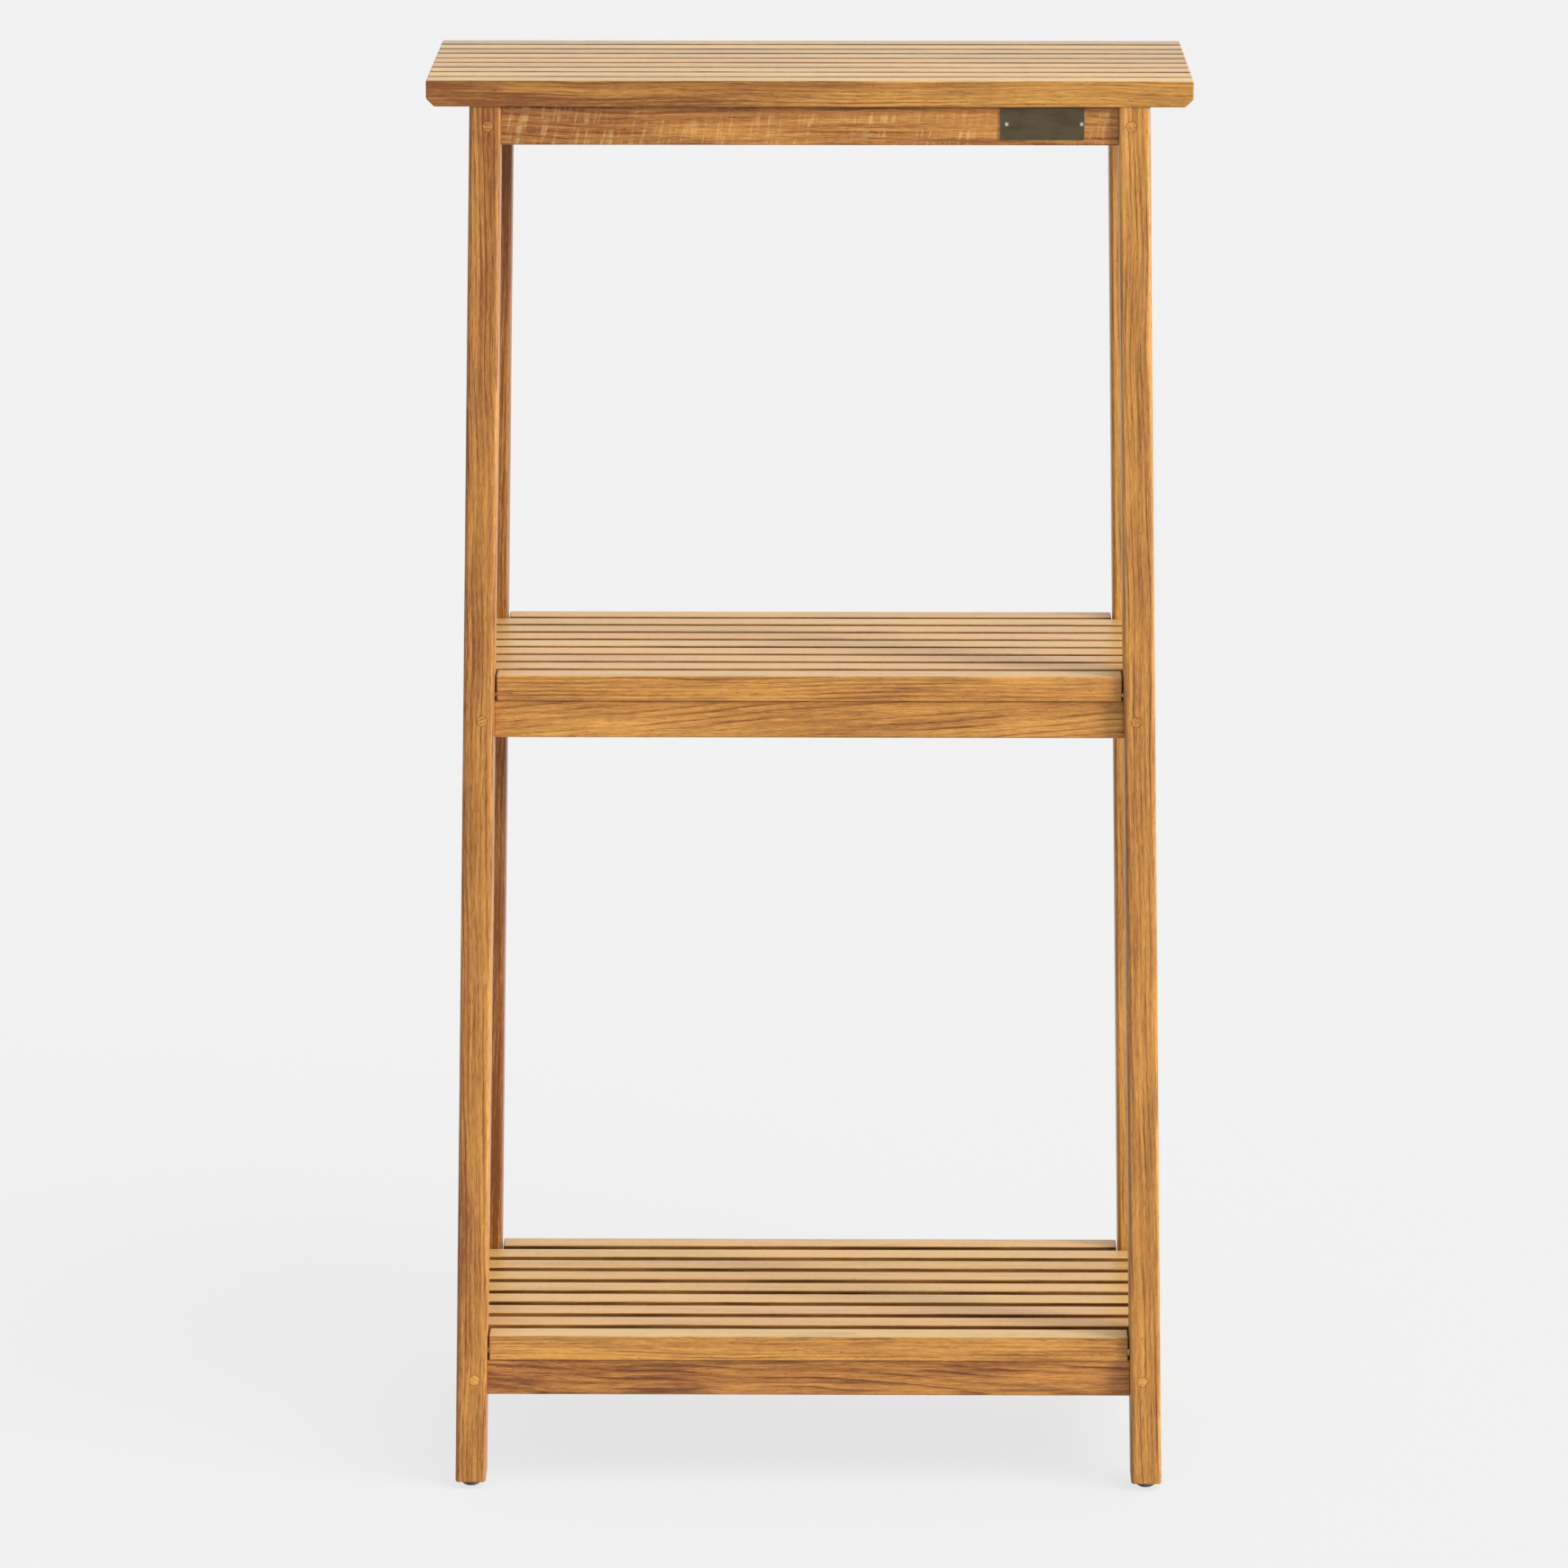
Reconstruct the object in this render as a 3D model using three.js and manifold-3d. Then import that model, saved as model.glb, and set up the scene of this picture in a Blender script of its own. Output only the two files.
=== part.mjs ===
// Three-tier slatted plant stand in solid teak, in millimetres.
//
// Four legs lean outward to both sides and to the front and back. Under each shelf a front, a
// rear and two side rails are tenoned into the legs, and a round pin locks every front and rear
// tenon. The shelves are rows of square slats that lie on the rails. The frame is +Z up and +X
// to the right as seen from the front, which faces -Y, with its origin on the floor midway
// between the four feet.

import * as THREE from "three";
import { mergeVertices } from "three/addons/utils/BufferGeometryUtils.js";
import Module from "manifold-3d";

const wasm = await Module();
wasm.setup();

// ---------------------------------------------------------------- driving dimensions

// Overall
const totalHeight = 1120;
const topWidth = 580;
const topDepth = 224;
const middleShelfHeight = 659; // upper face of the middle shelf
const bottomShelfHeight = 126; // upper face of the bottom shelf

// Slats
const slatWidth = 20;
const slatThickness = 20;
const topSlatGap = 5.5; // between two slats of the top, which sets how many slats a shelf has
const topEndChamfer = 6; // on the lower corner at each end of a top slat
const shelfSetback = 5; // face of the middle and bottom shelves, behind the face of the legs
const slatEndGap = 1.2; // between a leg and a slat that stops at it

// Legs
const legWidth = 24; // along X
const legDepth = 30; // along Y
const legEdgeRadius = 3;
const legEdgeSteps = 5; // facets of a rounded edge
const legSplay = 0.0205; // lean of a leg outward, per unit of drop, along X and along Y alike
const topOverhangSide = 32.5; // of the top past the legs
const topOverhangFront = 2;

// Rails
const railHeight = 30;
const railThickness = 16;
const topRailSetback = 6.5; // behind the face of the first slat
const shelfRailSetback = 3.5;

// Joints
const clearance = 0.3; // all round a tenon, a pin and a nail, and at a rail's shoulder
const tenonThickness = 7;
const tenonShoulder = 5; // above and below a tenon
const tenonCheek = 1.5; // between the outer face of a front or rear rail and its tenon
const mortiseEndWall = 8; // wood left between a front or rear mortise and the leg's outer side
const mortiseWall = 3; // wood left between the two mortises that meet in a leg
const pinDiameter = 8;
const pinOffset = 2.5; // of a pin from the middle of the leg's width, toward the rail
const pinReach = 1.5; // of a pin past the back of its tenon
const pinSides = 20;

// Glides
const glideDiameter = 16;
const glideHeight = 6;
const glideRim = 2; // straight edge above the dome
const glideFlatDiameter = 8; // where the dome meets the floor
const glideNailDiameter = 2.4;
const glideNailLength = 14;
const glideNailTip = 3;
const glideSides = 24;
const glideDomeSteps = 4;

// Nameplate, bare, held by two tacks
const plateWidth = 63.5;
const plateHeight = 24;
const plateThickness = 1;
const plateEndGap = 26; // between the plate and the right leg
const plateTopGap = 1.5; // between the plate and the top
const tackHeadDiameter = 3;
const tackHeadHeight = 0.6;
const tackShankDiameter = 1.4;
const tackShankLength = 7;
const tackInsetLeft = 4.7; // of a tack's middle from the end of the plate
const tackInsetRight = 2;
const nailSides = 10; // of the tacks and of the glides' nails

// ---------------------------------------------------------------- derived places

const legTop = totalHeight - slatThickness;
const legFoot = glideHeight;
const slatsPerShelf = Math.round((topDepth + topSlatGap) / (slatWidth + topSlatGap));

const SIDES = { left: -1, right: 1 };
const FACES = { front: -1, rear: 1 };

/** Distance from the middle plane to the outer side of a leg at height z. */
function legOuterX(z) {
  return topWidth / 2 - topOverhangSide + legSplay * (legTop - z);
}

/** Distance from the middle plane to the outer face, front or rear, of a leg at height z. */
function legOuterY(z) {
  return topDepth / 2 - topOverhangFront + legSplay * (legTop - z);
}

/** Everything about one shelf that its slats and rails share. */
function makeTier(name, shelfTop, depth, railSetback) {
  const railTop = shelfTop - slatThickness;
  const railMiddle = railTop - railHeight / 2;
  const railFace = depth / 2 - railSetback;
  const tenonOuter = railFace - tenonCheek;
  const sideRailMiddle = legOuterX(railMiddle) - legWidth / 2;
  return {
    name,
    shelfTop,
    depth,
    railTop,
    railMiddle,
    railBottom: railTop - railHeight,
    railFace,
    tenonOuter,
    tenonInner: tenonOuter - tenonThickness,
    tenonEndX: legOuterX(railMiddle) - mortiseEndWall,
    sideRailMiddle,
    sideTenonEndY: tenonOuter - tenonThickness - mortiseWall,
    sideRailOuter: sideRailMiddle + railThickness / 2,
    pinX: legOuterX(railMiddle) - legWidth / 2 - pinOffset,
  };
}

/** Depth of a shelf that stands behind the faces of the legs. */
function shelfDepth(shelfTop) {
  return 2 * (legOuterY(shelfTop) - shelfSetback);
}

const topTier = makeTier("top", totalHeight, topDepth, topRailSetback);
const shelfTiers = [
  makeTier("middle", middleShelfHeight, shelfDepth(middleShelfHeight), shelfRailSetback),
  makeTier("bottom", bottomShelfHeight, shelfDepth(bottomShelfHeight), shelfRailSetback),
];
const tiers = [topTier, ...shelfTiers];

// ---------------------------------------------------------------- solids

/** A closed three.js geometry as a solid that can be joined and cut. */
function solid(geometry) {
  const bare = geometry.clone();
  bare.deleteAttribute("normal");
  bare.deleteAttribute("uv");
  const merged = mergeVertices(bare);
  return new wasm.Manifold(
    new wasm.Mesh({
      numProp: 3,
      vertProperties: new Float32Array(merged.attributes.position.array),
      triVerts: new Uint32Array(merged.index.array),
    }),
  );
}

/** A solid as a three.js geometry with flat faces. */
function geometryOf(body) {
  const mesh = body.getMesh();
  const geometry = new THREE.BufferGeometry();
  const positions = new Float32Array(mesh.vertProperties);
  geometry.setAttribute("position", new THREE.BufferAttribute(positions, 3));
  geometry.setIndex(new THREE.BufferAttribute(new Uint32Array(mesh.triVerts), 1));
  const flat = geometry.toNonIndexed();
  flat.computeVertexNormals();
  return flat;
}

/** A box between two corners, given in any order. */
function boxBetween(a, b) {
  const low = new THREE.Vector3(...a).min(new THREE.Vector3(...b));
  const high = new THREE.Vector3(...a).max(new THREE.Vector3(...b));
  const size = high.clone().sub(low);
  const middle = low.clone().add(high).multiplyScalar(0.5);
  return new THREE.BoxGeometry(size.x, size.y, size.z).translate(middle.x, middle.y, middle.z);
}

/** A polygon of [x, z] corners, extruded along Y between two values. */
function prismAlongY(corners, yLow, yHigh) {
  const shape = new THREE.Shape(corners.map(([x, z]) => new THREE.Vector2(x, z)));
  const prism = new THREE.ExtrudeGeometry(shape, { depth: yHigh - yLow, bevelEnabled: false });
  return prism.rotateX(Math.PI / 2).translate(0, yHigh, 0);
}

/** A polygon of [y, z] corners, extruded along X between two values. */
function prismAlongX(corners, xLow, xHigh) {
  const shape = new THREE.Shape(corners.map(([y, z]) => new THREE.Vector2(y, z)));
  const prism = new THREE.ExtrudeGeometry(shape, { depth: xHigh - xLow, bevelEnabled: false });
  return prism.rotateX(Math.PI / 2).rotateZ(Math.PI / 2).translate(xLow, 0, 0);
}

/** A cylinder along Y between two values. */
function cylinderAlongY(diameter, x, z, yA, yB, sides) {
  const radius = diameter / 2;
  const cylinder = new THREE.CylinderGeometry(radius, radius, Math.abs(yB - yA), sides);
  return cylinder.translate(x, (yA + yB) / 2, z);
}

// ---------------------------------------------------------------- legs

/** Outline of a leg's level section, with rounded corners. */
function legSection(grow) {
  const halfX = legWidth / 2 + grow;
  const halfY = legDepth / 2 + grow;
  const r = Math.min(legEdgeRadius + grow, halfX, halfY);
  const shape = new THREE.Shape();
  shape.moveTo(halfX, -halfY + r);
  shape.absarc(halfX - r, halfY - r, r, 0, Math.PI / 2, false);
  shape.absarc(-halfX + r, halfY - r, r, Math.PI / 2, Math.PI, false);
  shape.absarc(-halfX + r, -halfY + r, r, Math.PI, 1.5 * Math.PI, false);
  shape.absarc(halfX - r, -halfY + r, r, 1.5 * Math.PI, 2 * Math.PI, false);
  return shape;
}

/** A leg before its joints are cut. A grown blank is the room that a leg needs. */
function legBlank(side, face, grow = 0) {
  const blank = new THREE.ExtrudeGeometry(legSection(grow), {
    depth: legTop - legFoot,
    bevelEnabled: false,
    curveSegments: legEdgeSteps,
  });
  blank.translate(0, 0, legFoot - legTop);
  blank.applyMatrix4(new THREE.Matrix4().makeShear(0, 0, 0, 0, -side * legSplay, -face * legSplay));
  const x = side * (legOuterX(legTop) - legWidth / 2);
  const y = face * (legOuterY(legTop) - legDepth / 2);
  return solid(blank.translate(x, y, legTop));
}

/** The mortise for the tenon of a front or rear rail. */
function railMortise(tier, side, face) {
  const halfHeight = railHeight / 2 - tenonShoulder + clearance;
  const open = legOuterX(tier.railBottom) - legWidth - slatEndGap;
  const near = [side * open, face * (tier.tenonInner - clearance), tier.railMiddle - halfHeight];
  const far = [
    side * (tier.tenonEndX + clearance),
    face * (tier.tenonOuter + clearance),
    tier.railMiddle + halfHeight,
  ];
  return solid(boxBetween(near, far));
}

/** The mortise for the tenon of a side rail. */
function sideRailMortise(tier, side, face) {
  const halfHeight = railHeight / 2 - tenonShoulder + clearance;
  const halfThickness = tenonThickness / 2 + clearance;
  const open = legOuterY(tier.railBottom) - legDepth - slatEndGap;
  const middle = side * tier.sideRailMiddle;
  const near = [middle - halfThickness, face * open, tier.railMiddle - halfHeight];
  const far = [
    middle + halfThickness,
    face * (tier.sideTenonEndY + clearance),
    tier.railMiddle + halfHeight,
  ];
  return solid(boxBetween(near, far));
}

/** A pin, or with a larger diameter its hole, from outside the leg to past the tenon. */
function pinBlank(tier, side, face, grow) {
  const outside = legOuterY(tier.railBottom) + legSplay * railHeight + clearance;
  const inside = tier.tenonInner - pinReach - grow;
  return solid(
    cylinderAlongY(
      pinDiameter + 2 * grow,
      side * tier.pinX,
      tier.railMiddle,
      face * outside,
      face * inside,
      pinSides,
    ),
  );
}

/** The middle of a leg's foot. */
function footCentre(side, face) {
  return [side * (legOuterX(legFoot) - legWidth / 2), face * (legOuterY(legFoot) - legDepth / 2)];
}

/** A leg with its mortises, its pin holes and the pilot hole for its glide. */
function makeLeg(side, face) {
  let leg = legBlank(side, face);
  for (const tier of tiers) {
    leg = leg.subtract(railMortise(tier, side, face));
    leg = leg.subtract(sideRailMortise(tier, side, face));
    leg = leg.subtract(pinBlank(tier, side, face, clearance));
  }
  const [x, y] = footCentre(side, face);
  return leg.subtract(solid(glideNail(clearance).translate(x, y, 0)));
}

// ---------------------------------------------------------------- rails, pins

/** A front or rear rail with its two tenons and their pin holes. */
function makeRail(tier, face) {
  const halfAt = (z) => legOuterX(z) - legWidth - clearance;
  const corners = [
    [-halfAt(tier.railBottom), tier.railBottom],
    [halfAt(tier.railBottom), tier.railBottom],
    [halfAt(tier.railTop), tier.railTop],
    [-halfAt(tier.railTop), tier.railTop],
  ];
  const outer = face * tier.railFace;
  const inner = face * (tier.railFace - railThickness);
  const body = solid(prismAlongY(corners, Math.min(outer, inner), Math.max(outer, inner)));
  const halfHeight = railHeight / 2 - tenonShoulder;
  const tenon = boxBetween(
    [-tier.tenonEndX, face * tier.tenonInner, tier.railMiddle - halfHeight],
    [tier.tenonEndX, face * tier.tenonOuter, tier.railMiddle + halfHeight],
  );
  let rail = body.add(solid(tenon));
  for (const side of Object.values(SIDES)) {
    rail = rail.subtract(pinBlank(tier, side, face, clearance));
  }
  return rail;
}

/** A side rail with its two short tenons. */
function makeSideRail(tier, side) {
  const halfAt = (z) => legOuterY(z) - legDepth - clearance;
  const corners = [
    [-halfAt(tier.railBottom), tier.railBottom],
    [halfAt(tier.railBottom), tier.railBottom],
    [halfAt(tier.railTop), tier.railTop],
    [-halfAt(tier.railTop), tier.railTop],
  ];
  const middle = side * tier.sideRailMiddle;
  const half = railThickness / 2;
  const halfHeight = railHeight / 2 - tenonShoulder;
  const tenon = boxBetween(
    [middle - tenonThickness / 2, -tier.sideTenonEndY, tier.railMiddle - halfHeight],
    [middle + tenonThickness / 2, tier.sideTenonEndY, tier.railMiddle + halfHeight],
  );
  return solid(prismAlongX(corners, middle - half, middle + half)).add(solid(tenon));
}

/** A pin, trimmed flush with the face of its leg. */
function makePin(tier, side, face) {
  return pinBlank(tier, side, face, 0).intersect(legBlank(side, face));
}

// ---------------------------------------------------------------- slats

/** Middle of each slat of a shelf along Y, from front to rear. */
function slatCentres(tier) {
  const pitch = (tier.depth - slatWidth) / (slatsPerShelf - 1);
  const first = (slatWidth - tier.depth) / 2;
  return Array.from({ length: slatsPerShelf }, (_, i) => first + i * pitch);
}

/** A slat of the top: its ends overhang the legs, and their lower corners are cut off. */
function makeTopSlat(tier, centre) {
  const half = topWidth / 2;
  const low = tier.railTop;
  const corners = [
    [-half + topEndChamfer, low],
    [half - topEndChamfer, low],
    [half, low + topEndChamfer],
    [half, tier.shelfTop],
    [-half, tier.shelfTop],
    [-half, low + topEndChamfer],
  ];
  return solid(prismAlongY(corners, centre - slatWidth / 2, centre + slatWidth / 2));
}

/**
 * A slat of a lower shelf. One in line with the legs stops between them. The others run out
 * to the face of the side rails, and are notched where a leg would be in their way.
 */
function makeShelfSlat(tier, centre) {
  const legInner = legOuterY(tier.shelfTop) - legDepth;
  const inLineWithLegs = Math.abs(centre) > legInner;
  const between = legOuterX(tier.shelfTop) - legWidth - slatEndGap;
  const half = inLineWithLegs ? between : tier.sideRailOuter;
  const halfWidth = slatWidth / 2;
  const slat = boxBetween(
    [-half, centre - halfWidth, tier.railTop],
    [half, centre + halfWidth, tier.shelfTop],
  );
  let result = solid(slat);
  if (!inLineWithLegs && Math.abs(centre) + halfWidth > legInner - clearance) {
    for (const side of Object.values(SIDES)) {
      result = result.subtract(legBlank(side, Math.sign(centre), clearance));
    }
  }
  return result;
}

// ---------------------------------------------------------------- glides, nameplate

/** The nail of a glide, or with a larger size its hole in the foot. */
function glideNail(grow) {
  const radius = glideNailDiameter / 2 + grow;
  const top = glideHeight + glideNailLength + grow;
  const start = glideHeight - glideRim;
  const profile = [
    new THREE.Vector2(0, start),
    new THREE.Vector2(radius, start),
    new THREE.Vector2(radius, top - glideNailTip),
    new THREE.Vector2(0, top),
  ];
  return new THREE.LatheGeometry(profile, nailSides).rotateX(Math.PI / 2);
}

/** A domed glide with the nail that holds it in the foot. */
function makeGlide(side, face) {
  const radius = glideDiameter / 2;
  const flat = glideFlatDiameter / 2;
  const domeHeight = glideHeight - glideRim;
  const profile = [new THREE.Vector2(0, 0), new THREE.Vector2(flat, 0)];
  for (let i = 1; i <= glideDomeSteps; i += 1) {
    const angle = (i / glideDomeSteps) * (Math.PI / 2);
    const r = flat + (radius - flat) * Math.sin(angle);
    profile.push(new THREE.Vector2(r, domeHeight * (1 - Math.cos(angle))));
  }
  profile.push(new THREE.Vector2(radius, glideHeight));
  profile.push(new THREE.Vector2(0, glideHeight));
  const disc = new THREE.LatheGeometry(profile, glideSides).rotateX(Math.PI / 2);
  const [x, y] = footCentre(side, face);
  return solid(disc.translate(x, y, 0)).add(solid(glideNail(0).translate(x, y, 0)));
}

/** The middle of the nameplate, on the front rail of the top near the right leg. */
const plateCentreX = legOuterX(topTier.railMiddle) - legWidth - plateEndGap - plateWidth / 2;
const plateCentreZ = topTier.railTop - plateTopGap - plateHeight / 2;

/** Where the two tacks of the nameplate stand, along X. */
const tackPlaces = [
  plateCentreX - plateWidth / 2 + tackInsetLeft,
  plateCentreX + plateWidth / 2 - tackInsetRight,
];

/** The shank of a tack, or with a larger size its hole in the rail. */
function tackShank(x, grow) {
  const face = -topTier.railFace;
  const start = face - (grow > 0 ? plateThickness : plateThickness / 2);
  const end = face + tackShankLength + grow;
  const diameter = tackShankDiameter + 2 * grow;
  return solid(cylinderAlongY(diameter, x, plateCentreZ, start, end, nailSides));
}

/** The bare nameplate with its two tacks. */
function makeNameplate() {
  const face = -topTier.railFace;
  let plate = solid(
    boxBetween(
      [plateCentreX - plateWidth / 2, face - plateThickness, plateCentreZ - plateHeight / 2],
      [plateCentreX + plateWidth / 2, face, plateCentreZ + plateHeight / 2],
    ),
  );
  for (const x of tackPlaces) {
    const headFace = face - plateThickness - tackHeadHeight;
    const headRoot = face - plateThickness / 2;
    const head = cylinderAlongY(tackHeadDiameter, x, plateCentreZ, headFace, headRoot, nailSides);
    plate = plate.add(solid(head)).add(tackShank(x, 0));
  }
  return plate;
}

// ---------------------------------------------------------------- assembly

const stand = new THREE.Group();

/** Adds one named piece with a finish of its own. */
function addPiece(name, body, finish) {
  const mesh = new THREE.Mesh(geometryOf(body), new THREE.MeshStandardMaterial(finish));
  mesh.name = name;
  stand.add(mesh);
}

/** Oiled teak. The tone runs from -1, dark and red, to 1, pale and yellow. */
function teak(tone) {
  const color = new THREE.Color().setHSL(0.083 + 0.008 * tone, 0.5, 0.54 + 0.06 * tone);
  return { color, roughness: 0.6, metalness: 0 };
}

/** The tone of a slat, which differs a little from one slat to the next. */
function slatTone(tier, index) {
  const paleTone = 0.7;
  const spread = 0.3;
  const step = 2.4;
  return paleTone + spread * Math.sin(step * index + tiers.indexOf(tier));
}

const LEG_TONE = 0;
const PIN_TONE = 0.3;
const RAIL_TONE = -0.3;
const BRONZE = { color: 0x6b624e, roughness: 0.42, metalness: 0.85 };
const DARK_STEEL = { color: 0x4a4a4c, roughness: 0.5, metalness: 0.4 };

for (const [faceName, face] of Object.entries(FACES)) {
  for (const [sideName, side] of Object.entries(SIDES)) {
    addPiece(`leg_${faceName}_${sideName}`, makeLeg(side, face), teak(LEG_TONE));
    addPiece(`glide_${faceName}_${sideName}`, makeGlide(side, face), DARK_STEEL);
    for (const tier of tiers) {
      const pin = makePin(tier, side, face);
      addPiece(`${tier.name}_pin_${faceName}_${sideName}`, pin, teak(PIN_TONE));
    }
  }
}

for (const tier of tiers) {
  for (const [faceName, face] of Object.entries(FACES)) {
    let rail = makeRail(tier, face);
    if (tier === topTier && faceName === "front") {
      for (const x of tackPlaces) rail = rail.subtract(tackShank(x, clearance));
    }
    addPiece(`${tier.name}_rail_${faceName}`, rail, teak(RAIL_TONE));
  }
  for (const [sideName, side] of Object.entries(SIDES)) {
    addPiece(`${tier.name}_rail_${sideName}`, makeSideRail(tier, side), teak(RAIL_TONE));
  }
  slatCentres(tier).forEach((centre, i) => {
    const slat = tier === topTier ? makeTopSlat(tier, centre) : makeShelfSlat(tier, centre);
    addPiece(`${tier.name}_slat_${i + 1}`, slat, teak(slatTone(tier, i)));
  });
}

addPiece("nameplate", makeNameplate(), BRONZE);

export default stand;
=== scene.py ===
"""Three-tier slatted teak plant stand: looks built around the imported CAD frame.

Every CAD solid keeps its place. Wooden pieces are rebuilt from their own node with eased edges
and carry a grain direction of their own, so one solid wood material shows long grain on the
faces and end grain on the ends. Units are metres; grain coordinates are millimetres.
"""

import math
import random

import bmesh
import bpy
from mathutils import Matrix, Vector


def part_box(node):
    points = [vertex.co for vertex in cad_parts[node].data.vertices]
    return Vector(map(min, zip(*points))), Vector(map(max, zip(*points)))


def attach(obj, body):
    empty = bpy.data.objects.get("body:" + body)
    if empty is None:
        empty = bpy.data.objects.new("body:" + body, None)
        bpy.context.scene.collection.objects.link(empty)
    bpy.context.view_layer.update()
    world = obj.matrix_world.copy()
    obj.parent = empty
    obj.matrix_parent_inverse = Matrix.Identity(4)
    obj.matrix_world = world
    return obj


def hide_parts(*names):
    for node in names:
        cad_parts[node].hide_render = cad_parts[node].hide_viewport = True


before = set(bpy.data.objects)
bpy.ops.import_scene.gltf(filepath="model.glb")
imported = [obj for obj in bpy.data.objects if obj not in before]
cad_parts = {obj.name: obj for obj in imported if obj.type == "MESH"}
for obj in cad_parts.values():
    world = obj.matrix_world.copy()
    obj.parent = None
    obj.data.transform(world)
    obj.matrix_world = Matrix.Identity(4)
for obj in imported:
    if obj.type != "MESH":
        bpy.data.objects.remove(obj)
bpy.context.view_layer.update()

MM = 0.001
WHITE = (1.0, 1.0, 1.0, 1.0)
PALE_SHOWN = 0.879  # level at which the floor and the room show

# Camera, matched to the photograph
CAMERA_PLACE = (0.0213, -5.112, 1.8324)
CAMERA_TILT = 75.86
CAMERA_PAN = 0.466
CAMERA_LENS = 152.79
CAMERA_SENSOR = 36.0

# Light: a soft, low key from the right and in front, and a fill from behind
KEY_DIRECTION = (0.88, -0.40, 0.25)
KEY_STRENGTH = 3.2
KEY_SOFTNESS = 17.0
REAR_DIRECTION = (0.0, 1.0, 0.04)
REAR_STRENGTH = 0.9
REAR_SOFTNESS = 30.0

# Room: its soft light is strongest from above, and mirrors see a dark side and a bright window
ROOM_LIGHT = 0.34
ROOM_LEAST = 0.1
ROOM_FROM_ABOVE = 2.1
ROOM_FROM_RIGHT = 0.8
ROOM_FROM_FRONT = 0.5
MIRRORED_LEFT = 0.10
MIRRORED_RIGHT = 1.8
MIRRORED_FRONT = 0.6
LEFT_FADE = (-0.6, -0.1)
RIGHT_FADE = (0.2, 0.75)
FRONT_FADE = (-0.9, -0.1)

# Floor: lit by a wide lamp of its own, so that it keeps only a soft shadow under the stand
FLOOR_LAMP_DIRECTION = (0.56, -0.42, 1.0)
FLOOR_LAMP_STRENGTH = 2.75
FLOOR_LAMP_SOFTNESS = 40.0
FLOOR_PALE = 0.60
FLOOR_MOTTLE = 0.004
FLOOR_BOUNCE = 0.40
FLOOR_SHADOW_SHARE = 0.15
FLOOR_SIZE = 80.0

# Shapes, in millimetres and degrees
SLAT_EDGE = 1.1
RAIL_EDGE = 1.6
FOOT_EDGE = 1.6
FOOT_RIM = 8.0  # reach of a leg's foot that belongs to the hole of its nail
EDGE_STEPS = 3
LONG_EDGE = 100.0
SHARP_ANGLE = 32.0
WELD = 0.001
FLAT_ANGLE = 0.5
LEVEL = 0.05  # height within which points count as level
TACK_HEIGHT = 0.6
END_SHARE = 0.03  # share of a piece's length that counts as its end

# Slats: painted light makes their upper faces paler, and painted shade darkens their faces toward a
# neighbour
PAINTED_TOP_LIGHT = 0.38
PAINTED_TOP_SHEEN = 0.42
PAINTED_GAP_SHADE = {"top": 0.58, "middle": 0.84, "bottom": 1.0}
OUTER_FACES = {"1": -1, "9": 1}  # first and last slat, and the way their outer face looks, which gets no painted shade
SLAT_WARMTH = {"top": 0.25, "middle": 0.8, "bottom": 1.0}
# how much the painted light on the tops differs from one slat to the next
UNEVEN_TOPS = {"top": 0.35, "middle": 0.3, "bottom": 0.45}
SLAT_TONES = {  # of the slats behind the first: how much lighter, and the change with each slat
    "top": (-0.06, -0.058),
    "middle": (0.14, 0.0),
    "bottom": (0.18, 0.0),
}

# Teak patterns: features per millimetre, twice across the grain and once along it
WANDER = (0.012, 0.012, 0.005)
RIPPLE = (0.06, 0.06, 0.016)
BROAD = (0.05, 0.05, 0.006)
BUNDLES = (0.50, 0.50, 0.012)
FLECKS = (1.4, 1.4, 0.085)
FIBRES = (2.2, 2.2, 0.12)
PORES = (1.7, 1.7, 0.15)
RING_DEPTH = (0.11, 0.11, 0.010)
DARK_STREAKS = (0.22, 0.22, 0.010)
PATCHES = (0.16, 0.16, 0.012)
RIBBONS = (0.03, 0.03, 0.30)
RINGS = 0.34  # growth rings per millimetre
WANDER_REACH = 10.0
RIPPLE_REACH = 1.6
DRIFT_SHARE = 0.7  # of the wander that goes into the depth of the board
RIBBON_SLANT = 0.25

# Where a pattern begins to show, and where it shows in full
LATE_BAND = (0.45, 0.93)
RING_END = (0.95, 1.0)
RING_LINE = (0.70, 0.95)
RING_CLEAR = (0.3, 0.7)
PORE_STEP = (0.64, 0.74)
STREAK_STEP = (0.50, 0.70)
RIBBON_STEP = (0.48, 0.70)
RIBBON_PATCH = (0.35, 0.62)
# painted shade on the slats' faces toward a neighbour comes in patches
GAP_SHADE_PATCH = (0.30, 0.62)

# How strongly the patterns show
BUNDLE_TONE = 1.2
FLECK_TONE = 1.1
FIBRE_TONE = 0.4
BROAD_TONE = 0.9
LATE_WOOD_TONE = 0.40
STREAK_SHARE = 0.72
RIBBON_SHARE = 0.42
PORE_SHARE = 0.6
# painted shade on the slats' faces toward a neighbour, least and most
GAP_SHADE_SHARES = (0.95, 0.66)

# Surface of the wood: the relief is in millimetres, and its parts are shares of it
WOOD_IOR = 1.5
SHEEN_ROUGHNESS = 0.35
FLECK_GLOSS = 0.16
PORE_DULLNESS = 0.2
WOOD_RELIEF = 0.10
FLECK_HEIGHT = 0.5
PORE_DEPTH = 0.6
LATE_WOOD_DEPTH = 0.2

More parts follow.
